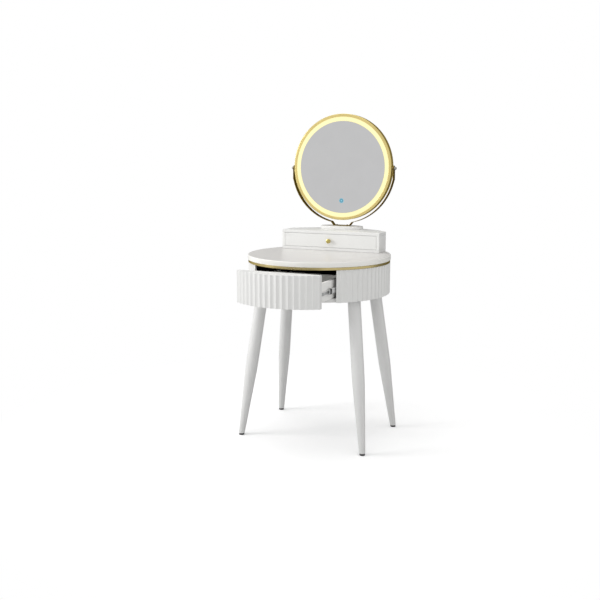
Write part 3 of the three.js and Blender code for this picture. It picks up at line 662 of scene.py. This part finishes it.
def leaning_loft(node, where, levels, segments, softness):
    """A leaning round piece: one level circle for each (height, radius), round the leg's centre line."""
    line = leg_line(where)
    sections = []
    for z, radius in levels:
        middle = line(z)
        sections.append([(x, y, z) for x, y in circle(radius, segments, (middle.x, middle.y))])
    shape = bmesh.new()
    add_loft(shape, sections)
    piece_for(node, shape, softness)


def leg_radius(share):
    """The leg's radius at a share of its taper, above 1 where the leg is straight."""
    bend = 0.05  # how gently the straight part turns into the taper
    below = 1 - share
    soft_below = (below + math.hypot(below, bend)) / 2
    return LEG_RADIUS - (LEG_RADIUS - FOOT_RADIUS) * soft_below


def leg(where):
    """A leaning round leg, straight above and tapered below."""
    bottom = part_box("leg_" + where)[0].z
    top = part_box("leg_plate_" + where)[0].z - JOINT_GAP
    steps = 40
    heights = [bottom + (top - bottom) * i / steps for i in range(steps + 1)]
    levels = [(z, leg_radius((z - bottom) / (TAPER_HEIGHT - bottom))) for z in heights]
    leaning_loft("leg_" + where, where, levels, 64, 1.2 * MM)


def foot_pad(where):
    """The rubber glide under a leg, with its lower rim rounded more than its upper one."""
    low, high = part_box("foot_pad_" + where)
    lower_edge, upper_edge = 1.2 * MM, 0.4 * MM
    levels = [
        (low.z, PAD_RADIUS - lower_edge),
        (low.z + 0.3 * lower_edge, PAD_RADIUS - 0.3 * lower_edge),
        (low.z + lower_edge, PAD_RADIUS),
        (high.z - upper_edge, PAD_RADIUS),
        (high.z, PAD_RADIUS - upper_edge),
    ]
    leaning_loft("foot_pad_" + where, where, levels, 48, 0)


def leg_plate(where):
    """The pressed steel plate under the bottom board, held by four screws."""
    node = "leg_plate_" + where
    low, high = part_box(node)
    outline = rounded_rectangle(low.x, high.x, low.y, high.y, 5 * MM)
    holes = []
    screws = bmesh.new()
    for x in (low.x + PLATE_SCREW_INSET, high.x - PLATE_SCREW_INSET):
        for y in (low.y + PLATE_SCREW_INSET, high.y - PLATE_SCREW_INSET):
            holes.append(circle(2.2 * MM, 20, (x, y)))
            upside_down = Matrix.Translation((x, y, low.z)) @ Matrix.Rotation(math.pi, 4, "X")
            add_screw_head(screws, upside_down, 4 * MM, 2.2 * MM)
    plate_for(node, outline, 0.5 * MM, holes)
    fitting(node + "_screws", screws, node, "plate_steel")


def legs():
    for where in ("front_left", "front_right", "rear_left", "rear_right"):
        leg(where)
        leg_plate(where)
        foot_pad(where)


# ---- Wide drawer --------------------------------------------------------------------------------

def front_segment(front, back):
    """The drawer front's inner curve between two lines across it, given as places behind its centre."""
    curve_radius = DRAWER_CENTRE.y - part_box("main_drawer_front_cap")[0].y
    near = math.acos(min(1, -front / curve_radius))
    far = math.acos(-back / curve_radius)
    outline = arc(curve_radius, -far, -near, 40) + arc(curve_radius, near, far, 40)
    return list(dict.fromkeys(outline))


def drawer_front():
    """The fluted face, the cap that closes its top and the board behind it."""
    low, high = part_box("main_drawer_front")
    fluted_wall("main_drawer_front", DRAWER_CENTRE, wall_end(low.x), wall_end(high.x))
    for node in ("main_drawer_front_cap", "main_drawer_inner_board"):
        low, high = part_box(node)
        outline = front_segment(low.y - DRAWER_CENTRE.y, high.y - DRAWER_CENTRE.y)
        plate_for(node, outline, 0.4 * MM, place=Matrix.Translation(DRAWER_CENTRE))


def channel_outline(low, high, facing, metal, bend):
    """A channel's section in this box, open towards `facing` along X, with round bends and blunt lips."""
    web, lip = (low.x, high.x) if facing > 0 else (high.x, low.x)
    inner_web = web + facing * metal
    inner_bend = max(bend - metal, 0)
    blunt = 0.35 * metal
    return filleted([
        (web, low.z, bend),
        (lip, low.z, blunt),
        (lip, low.z + metal, blunt),
        (inner_web, low.z + metal, inner_bend),
        (inner_web, high.z - metal, inner_bend),
        (lip, high.z - metal, blunt),
        (lip, high.z, blunt),
        (web, high.z, bend),
    ])


def slide_member(node, facing):
    """A rolled steel channel along Y, open towards `facing` along X."""
    low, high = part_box(node)
    shape = bmesh.new()
    outline = channel_outline(low, high, facing, SLIDE_METAL, 1.8 * MM)
    add_plate(shape, outline, -high.y, -low.y, place=FACING_FRONT)
    piece_for(node, shape)


def slide_screws(node, facing):
    """Three flat screws that hold a slide member by its web."""
    low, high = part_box(node)
    web = (low.x if facing > 0 else high.x) + facing * SLIDE_METAL
    height = (low.z + high.z) / 2
    outwards = Matrix.Rotation(facing * math.pi / 2, 4, "Y")
    shape = bmesh.new()
    for share in (0.12, 0.5, 0.88):
        place = Matrix.Translation((web, low.y + (high.y - low.y) * share, height)) @ outwards
        add_screw_head(shape, place, 3.2 * MM, 1.5 * MM)
    fitting(node + "_screws", shape, node, "plate_steel")


def slide_sleeve(side, facing):
    """The black plastic sleeve round a slide's middle member, just behind its front end."""
    node = "slide_middle_" + side
    low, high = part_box(node)
    wall = 0.6 * MM
    around = Vector((wall, 0, wall))
    shape = bmesh.new()
    outline = channel_outline(low - around, high + around, facing, wall, 2.4 * MM)
    front = low.y + SLEEVE_SETBACK
    add_plate(shape, outline, -(front + SLEEVE_LENGTH), -front, place=FACING_FRONT)
    fitting("slide_sleeve_" + side, shape, node, "black_plastic")


def wide_drawer():
    drawer_front()
    for part in ("side_left", "side_right", "back", "floor"):
        block_for("main_drawer_" + part, 0.7 * MM)
    for side, sign in SIDES.items():
        slide_member("slide_rail_" + side, -sign)
        slide_member("slide_middle_" + side, -sign)
        slide_member("slide_runner_" + side, sign)
        slide_screws("slide_rail_" + side, -sign)
        slide_screws("slide_runner_" + side, sign)
        slide_sleeve(side, -sign)


# ---- Small cabinet ------------------------------------------------------------------------------

def cabinet_board(node):
    """A board with straight front and sides, and a back that follows the round top."""
    low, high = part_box(node)
    front = low.y - TABLE_CENTRE.y
    rear_radius = high.y - TABLE_CENTRE.y
    corner = math.asin(high.x / rear_radius)
    rear = arc(rear_radius, math.pi - corner, math.pi + corner, 72)
    plate_for(node, [(low.x, front), (high.x, front), *rear], 1 * MM, place=Matrix.Translation(TABLE_CENTRE))


def cabinet_back():
    """The thin curved panel behind the cabinet."""
    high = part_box("cabinet_back_panel")[1]
    outer_radius = high.y - TABLE_CENTRE.y
    inner_radius = outer_radius - BACK_THICKNESS
    outer_corner = math.asin(high.x / outer_radius)
    inner_corner = math.asin(high.x / inner_radius)
    outer = arc(outer_radius, math.pi - outer_corner, math.pi + outer_corner, 72)
    inner = arc(inner_radius, math.pi + inner_corner, math.pi - inner_corner, 72)
    plate_for("cabinet_back_panel", outer + inner, 0.4 * MM, place=Matrix.Translation(TABLE_CENTRE))


def cabinet_side(side, sign):
    """A side board, whose rear end follows the round back."""
    node = "cabinet_side_" + side
    low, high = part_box(node)
    near, far = sorted((abs(low.x), abs(high.x)))
    front = low.y - TABLE_CENTRE.y
    rear_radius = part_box("cabinet_top_board")[1].y - TABLE_CENTRE.y
    far_angle, near_angle = (math.pi - math.asin(x / rear_radius) for x in (far, near))
    rear = arc(rear_radius, far_angle, near_angle, 8)
    outline = [(sign * x, y) for x, y in ((near, front), (far, front), *rear)]
    plate_for(node, outline, 0.5 * MM, place=Matrix.Translation(TABLE_CENTRE))


def small_knob():
    """The turned knob: a slim foot, a waist and a flared, domed head."""
    low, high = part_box("small_drawer_knob")
    radius = (high.x - low.x) / 2
    length = high.y - low.y
    corners = [
        (0, 0, 0),
        (0.62 * radius, 0, 0.4 * MM),
        (0.60 * radius, 0.1 * length, 0.6 * MM),
        (0.42 * radius, 0.36 * length, 4 * MM),
        (0.55 * radius, 0.55 * length, 3 * MM),
        (radius, 0.76 * length, 1.2 * MM),
        (radius, 0.92 * length, 1.4 * MM),
        (0.6 * radius, length, 3 * MM),
        (0, length, 0),
    ]
    place = Matrix.Translation((0, high.y, (low.z + high.z) / 2)) @ FACING_FRONT
    turned_for("small_drawer_knob", filleted(corners, closed=False), 64, place)


def small_cabinet():
    cabinet_board("cabinet_top_board")
    cabinet_board("cabinet_bottom_board")
    cabinet_back()
    for side, sign in SIDES.items():
        cabinet_side(side, sign)
        block_for("small_drawer_side_" + side, 0.5 * MM)
    for part in ("back", "floor"):
        block_for("small_drawer_" + part, 0.4 * MM)
    block_for("small_drawer_front", 1 * MM)
    small_knob()


# ---- Mirror stand -------------------------------------------------------------------------------

def oval(half_width, half_depth, segments=128):
    """An oval with slightly squared ends."""
    outline = []
    for i in range(segments):
        across, along = math.cos(TAU * i / segments), math.sin(TAU * i / segments)
        x = half_width * math.copysign(abs(across) ** (2 / BASE_ROUNDNESS), across)
        y = half_depth * math.copysign(abs(along) ** (2 / BASE_ROUNDNESS), along)
        outline.append((x, y))
    return outline


def mirror_base():
    """The low oval block, with a rounded upper edge and an eased lower one."""
    low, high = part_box("mirror_base")
    middle = (low + high) / 2
    half_width, half_depth = (high.x - low.x) / 2, (high.y - low.y) / 2
    upper_edge, lower_edge = 3 * MM, 0.8 * MM
    corners = [
        (0, low.z, 0),
        (half_depth, low.z, lower_edge),
        (half_depth, high.z, upper_edge),
        (0, high.z, 0),
    ]
    sections = []
    for reach, z in filleted(corners, closed=False)[1:-1]:
        inset = half_depth - reach
        outline = oval(half_width - inset, half_depth - inset)
        sections.append([(middle.x + x, middle.y + y, z) for x, y in outline])
    shape = bmesh.new()
    add_loft(shape, sections)
    piece_for("mirror_base", shape)


def yoke_path():
    """The yoke's centre line seen from the front, about its pivots, from one tab's tip to the other's."""
    low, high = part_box("mirror_yoke")
    half = YOKE_THICKNESS / 2
    tab_x, tip, foot = high.x - half, high.z - PIVOT.z, low.z + half - PIVOT.z
    arc_start = math.asin((TAB_DROP + TAB_BEND) / YOKE_ARC_RADIUS)
    arc_end = math.acos(YOKE_ARC_END / YOKE_ARC_RADIUS)
    steps = 56
    corners = [(YOKE_FOOT, foot, 4 * MM)]
    for i in range(steps + 1):
        angle = arc_end + (arc_start - arc_end) * i / steps
        radius = 4 * MM if i == 0 else 0
        corners.append((YOKE_ARC_RADIUS * math.cos(angle), -YOKE_ARC_RADIUS * math.sin(angle), radius))
    corners.append((tab_x, -TAB_DROP, 6 * MM))
    round_tip = (high.y - low.y) / 2
    for i in range(9):
        corners.append((tab_x, tip - round_tip * math.cos(TAU / 4 * i / 8), 0))
    mirrored = [(-x, z, radius) for x, z, radius in reversed(corners)]
    return [Vector(point) for point in filleted(mirrored + corners, closed=False)]


def mirror_yoke():
    """A bent flat strip with softened edges and round tab ends."""
    low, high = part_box("mirror_yoke")
    half_width = (high.y - low.y) / 2
    path = yoke_path()
    tip = path[-1].y
    sections = []
    for i, point in enumerate(path):
        arriving = (point - path[i - 1]).normalized() if i else (path[1] - point).normalized()
        leaving = (path[i + 1] - point).normalized() if i + 1 < len(path) else arriving
        along = (arriving + leaving).normalized()
        across = Vector((-along.y, along.x)) * (YOKE_THICKNESS / 2 / along.dot(leaving))
        short_of_tip = min(half_width, tip - point.y)
        rounded = math.sqrt(half_width ** 2 - (half_width - short_of_tip) ** 2)
        width = max(rounded, 0.6 * MM)
        upper, lower = point + across, point - across
        sections.append([
            (upper.x, -width, upper.y),
            (upper.x, width, upper.y),
            (lower.x, width, lower.y),
            (lower.x, -width, lower.y),
        ])
    shape = bmesh.new()
    add_loft(shape, sections)
    piece_for("mirror_yoke", shape, 0.5 * MM, Matrix.Translation(PIVOT), limit=60)


def yoke_screw(side):
    """A domed screw with a cross recess, down in the yoke's foot."""
    node = "yoke_screw_" + side
    low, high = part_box(node)
    radius = (high.x - low.x) / 2
    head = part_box("mirror_yoke")[0].z + YOKE_THICKNESS + JOINT_GAP
    shape = bmesh.new()
    add_turned(shape, [(0, low.z), (radius / 2, low.z), (radius / 2, head), (0, head)], 24)
    add_screw_head(shape, Matrix.Translation((0, 0, head)), radius, high.z - head)
    piece_for(node, shape, place=Matrix.Translation(((low.x + high.x) / 2, (low.y + high.y) / 2, 0)))


def mirror_stand():
    mirror_base()
    mirror_yoke()
    for side in SIDES:
        yoke_screw(side)


# ---- Mirror -------------------------------------------------------------------------------------

MIRROR_PLACE = Matrix.Translation(MIRROR_CENTRE) @ FACING_FRONT


def depth_of(node):
    """Where a node's rear and front faces are, towards the front from the mirror's middle."""
    low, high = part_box(node)
    return MIRROR_CENTRE.y - high.y, MIRROR_CENTRE.y - low.y


def frame_ring():
    """The gilt rim: a deep wall with a flat lip in front, and softly rounded outer edges."""
    rear, front = depth_of("mirror_frame_ring")
    wall_inner = MIRROR_RADIUS - RIM_THICKNESS
    lip_rear = front - LIP_THICKNESS
    corners = [
        (wall_inner, rear, 0.4 * MM),
        (MIRROR_RADIUS, rear, 1.3 * MM),
        (MIRROR_RADIUS, front, 1.8 * MM),
        (LIP_RADIUS, front, 0.9 * MM),
        (LIP_RADIUS, lip_rear, 0.3 * MM),
        (wall_inner, lip_rear, 0),
    ]
    turned_for("mirror_frame_ring", filleted(corners), 320, place=MIRROR_PLACE)


def mirror_glass():
    """The silvered disc, with a round window for the touch sensor."""
    node = "mirror_glass"
    low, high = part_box(node)
    lens_low, lens_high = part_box("touch_sensor_lens")
    rear, front = depth_of(node)
    lens_height = (lens_low.z + lens_high.z) / 2 - MIRROR_CENTRE.z
    window = circle((lens_high.x - lens_low.x) / 2 + JOINT_GAP, 48, (0, lens_height))
    shape = bmesh.new()
    add_plate(shape, circle((high.x - low.x) / 2, 256), rear, front, [window])
    piece_for(node, shape, place=MIRROR_PLACE, flat=True)


def touch_lens():
    """The clear window over the touch sensor, very slightly domed."""
    node = "touch_sensor_lens"
    low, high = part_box(node)
    radius = (high.x - low.x) / 2
    depth = high.y - low.y
    corners = [(0, 0, 0), (radius, 0, 0), (radius, depth - 0.3 * MM, 0.3 * MM), (0, depth, 0)]
    place = Matrix.Translation((0, high.y, (low.z + high.z) / 2)) @ FACING_FRONT
    turned_for(node, filleted(corners, closed=False), 64, place)


def diffuser_ring():
    """The frosted ring that glows between the glass and the rim."""
    node = "light_diffuser_ring"
    rear, front = depth_of(node)
    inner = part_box("mirror_glass")[1].x + JOINT_GAP
    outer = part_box(node)[1].x
    corners = [(inner, rear, 0), (outer, rear, 0), (outer, front, 0), (inner, front, 0.15 * MM)]
    turned_for(node, filleted(corners), 320, place=MIRROR_PLACE)


def rear_cover():
    """The flat disc that closes the back, with its rim eased, six small screws and the inlet's hole."""
    node = "mirror_rear_cover"
    low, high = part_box(node)
    inlet_low, inlet_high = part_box("power_inlet")
    rear, front = depth_of(node)
    radius = (high.x - low.x) / 2
    inlet_height = (inlet_low.z + inlet_high.z) / 2 - MIRROR_CENTRE.z
    hole = circle(INLET_BODY_RADIUS + JOINT_GAP, 48, (0, inlet_height))
    shape = bmesh.new()
    add_plate(shape, circle(radius, 256), rear, front, [hole])
    piece_for(node, shape, 0.8 * MM, MIRROR_PLACE)
    screws = bmesh.new()
    for x, y in circle(radius - 9 * MM, 6):
        backwards = Matrix.Translation((x, y, rear)) @ Matrix.Rotation(math.pi, 4, "X")
        add_screw_head(screws, backwards, 3 * MM, 1.3 * MM)
    fitting("mirror_rear_screws", screws, node, "plate_steel", MIRROR_PLACE)


def power_inlet():
    """The round socket in the rear cover, with a steel centre pin."""
    node = "power_inlet"
    low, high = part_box(node)
    flange = (high.x - low.x) / 2
    depth = high.y - low.y
    floor = depth - 3 * MM
    behind = Matrix.Translation((0, high.y, (low.z + high.z) / 2)) @ FACING_FRONT
    corners = [
        (0, floor, 0),
        (SOCKET_RADIUS, floor, 0.3 * MM),
        (SOCKET_RADIUS, 0, 0.6 * MM),
        (flange, 0, 0.5 * MM),
        (flange, 1.4 * MM, 0.2 * MM),
        (INLET_BODY_RADIUS, 1.4 * MM, 0),
        (INLET_BODY_RADIUS, depth, 0.4 * MM),
        (0, depth, 0),
    ]
    turned_for(node, filleted(corners, closed=False), 64, place=behind)
    pin = bmesh.new()
    pin_corners = [(0, 1 * MM, 0), (PIN_RADIUS, 1 * MM, 0.4 * MM), (PIN_RADIUS, floor, 0), (0, floor, 0)]
    add_turned(pin, filleted(pin_corners, closed=False), 24)
    fitting("power_inlet_pin", pin, node, "plate_steel", behind)


def pivot_place(sign):
    """On the tilt axis, with Z pointing outwards on this side."""
    return Matrix.Translation((0, PIVOT.y, PIVOT.z)) @ Matrix.Rotation(sign * math.pi / 2, 4, "Y")


def pivot_screw(side, sign):
    """The thumb screw that the mirror turns on: a plain shaft, and a knurled head with a domed end."""
    node = "pivot_screw_" + side
    low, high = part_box(node)
    head_radius = (high.z - low.z) / 2
    tab_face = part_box("mirror_yoke")[1].x + JOINT_GAP
    inner_end = min(abs(low.x), abs(high.x))
    outer_end = max(abs(low.x), abs(high.x))
    head_length = outer_end - tab_face
    ridges = 28
    groove_depth = 0.35 * MM

    def knurled(point):
        """Presses a row of grooves into the widest part of the head."""
        radius = math.hypot(point.x, point.y)
        if radius > 0.97 * head_radius:
            turn = math.atan2(point.y, point.x)
            groove = groove_depth * (0.5 - 0.5 * math.cos(ridges * turn))
            scale = (radius - groove) / radius
            point = Vector((point.x * scale, point.y * scale, point.z))
        return point

    corners = [
        (0, inner_end, 0),
        (PIVOT_SHAFT_RADIUS, inner_end, 0.4 * MM),
        (PIVOT_SHAFT_RADIUS, tab_face, 0),
        (0.97 * head_radius, tab_face, 0),
        (head_radius, tab_face + 0.05 * head_length, 0),
        (head_radius, tab_face + 0.42 * head_length, 0),
        (0.97 * head_radius, tab_face + 0.47 * head_length, 0.3 * MM),
        (0.62 * head_radius, outer_end, 1.6 * MM),
        (0, outer_end, 0),
    ]
    turned_for(node, filleted(corners, closed=False), 168, pivot_place(sign), knurled)


def pivot_spacer(side, sign):
    """The bush between the rim and the yoke's tab."""
    node = "pivot_spacer_" + side
    low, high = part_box(node)
    radius = (high.z - low.z) / 2
    near, far = sorted((abs(low.x), abs(high.x)))
    bore = PIVOT_SHAFT_RADIUS + 0.45 * MM
    bore_edge, outer_edge = 0.3 * MM, 0.6 * MM
    corners = [
        (bore, near, bore_edge),
        (radius, near, outer_edge),
        (radius, far, outer_edge),
        (bore, far, bore_edge),
    ]
    turned_for(node, filleted(corners), 64, pivot_place(sign))


def lamp_hoop():
    """The hoop inside the mirror keeps its CAD shape and gets a finish of its own."""
    for slot in frame["nodes"]["lamp_hoop"].material_slots:
        slot.link = "OBJECT"
        slot.material = looks["led_board"]


def mirror():
    frame_ring()
    mirror_glass()
    touch_lens()
    diffuser_ring()
    rear_cover()
    power_inlet()
    lamp_hoop()
    for side, sign in SIDES.items():
        pivot_screw(side, sign)
        pivot_spacer(side, sign)


# ---- Studio -------------------------------------------------------------------------------------

def studio_floor():
    """A pale floor with soft shadows near the object. It fades into the white room away from it."""
    shape = bmesh.new()
    bmesh.ops.create_circle(shape, cap_ends=True, radius=1.5, segments=96)
    look = Look("pale_floor", (0.95, 0.95, 0.95), 0.8, Specular_IOR_Level=0.0)
    look.set("Emission Color", (1, 1, 1, 1))
    look.set("Emission Strength", 0.15)
    distance = look.node("VectorMath", {0: look.place}, operation="LENGTH").outputs["Value"]
    faded = look.between(distance, 0, 1, 0.55, 1.4)
    white = look.node("Emission", {"Color": (1, 1, 1, 1), "Strength": 1.0}).outputs[0]
    shown = look.node("MixShader", {0: faded, 1: look.shader.outputs[0], 2: white}).outputs[0]
    grey = look.node("BsdfDiffuse", {"Color": (0.5, 0.5, 0.5, 1)}).outputs[0]
    by_camera = look.node("LightPath").outputs["Is Camera Ray"]
    seen = look.node("MixShader", {0: by_camera, 1: grey, 2: shown}).outputs[0]
    feed(look.tree, look.tree.nodes["Material Output"].inputs["Surface"], seen)
    finished("floor", shape, look.material)


def soft_light(name, place, aim, size, power):
    """A large square softbox."""
    data = bpy.data.lights.new(name, "AREA")
    data.size = size
    data.energy = power
    light = bpy.data.objects.new(name, data)
    light.location = place
    light.rotation_euler = (Vector(aim) - Vector(place)).to_track_quat("-Z", "Y").to_euler()
    light.visible_camera = False
    bpy.context.scene.collection.objects.link(light)


def studio_room():
    """A pale room that is dim behind the object, and plain white where the camera sees it."""
    world = bpy.data.worlds.new("studio")
    bpy.context.scene.world = world
    world.use_nodes = True
    tree = world.node_tree
    tree.nodes.clear()
    direction = add_node(tree, "TexCoord").outputs["Generated"]
    rearward = add_node(tree, "VectorMath", {0: direction, 1: (0, 1, 0)}, operation="DOT_PRODUCT")
    dimming = {
        "Value": rearward.outputs["Value"],
        "From Min": 0.3,
        "From Max": 0.75,
        "To Min": 1.05,
        "To Max": 0.34,
    }
    strength = add_node(tree, "MapRange", dimming, interpolation_type="SMOOTHSTEP").outputs["Result"]
    lighting = add_node(tree, "Background", {"Strength": strength}).outputs[0]
    backdrop = add_node(tree, "Background", {"Color": (1, 1, 1, 1)}).outputs[0]
    by_camera = add_node(tree, "LightPath").outputs["Is Camera Ray"]
    room = add_node(tree, "MixShader", {0: by_camera, 1: lighting, 2: backdrop}).outputs[0]
    add_node(tree, "OutputWorld", {"Surface": room})


def camera():
    """A long look down from the right of the front, from about the height of the mirror."""
    data = bpy.data.cameras.new("camera")
    data.lens = 46.32
    data.sensor_width = 36
    view = bpy.data.objects.new("camera", data)
    view.location = TABLE_CENTRE + Vector((1.2825, -2.8540, 1.1256))
    pitch_down, heading_left = 10.218, 25.63
    view.rotation_euler = (math.radians(90 - pitch_down), 0, math.radians(heading_left))
    bpy.context.scene.collection.objects.link(view)
    bpy.context.scene.camera = view


def studio():
    studio_room()
    studio_floor()
    soft_light("key_light", place=(-2.65, -1.6, 1.7), aim=(0, 0, 0.75), size=1.2, power=41)
    soft_light("top_light", place=(-0.3, -0.1, 3.2), aim=(0, 0, 0.7), size=2.2, power=23)
    camera()
    bpy.context.scene.view_settings.view_transform = "Standard"


studio()
top_and_drum()
legs()
wide_drawer()
small_cabinet()
mirror_stand()
mirror()
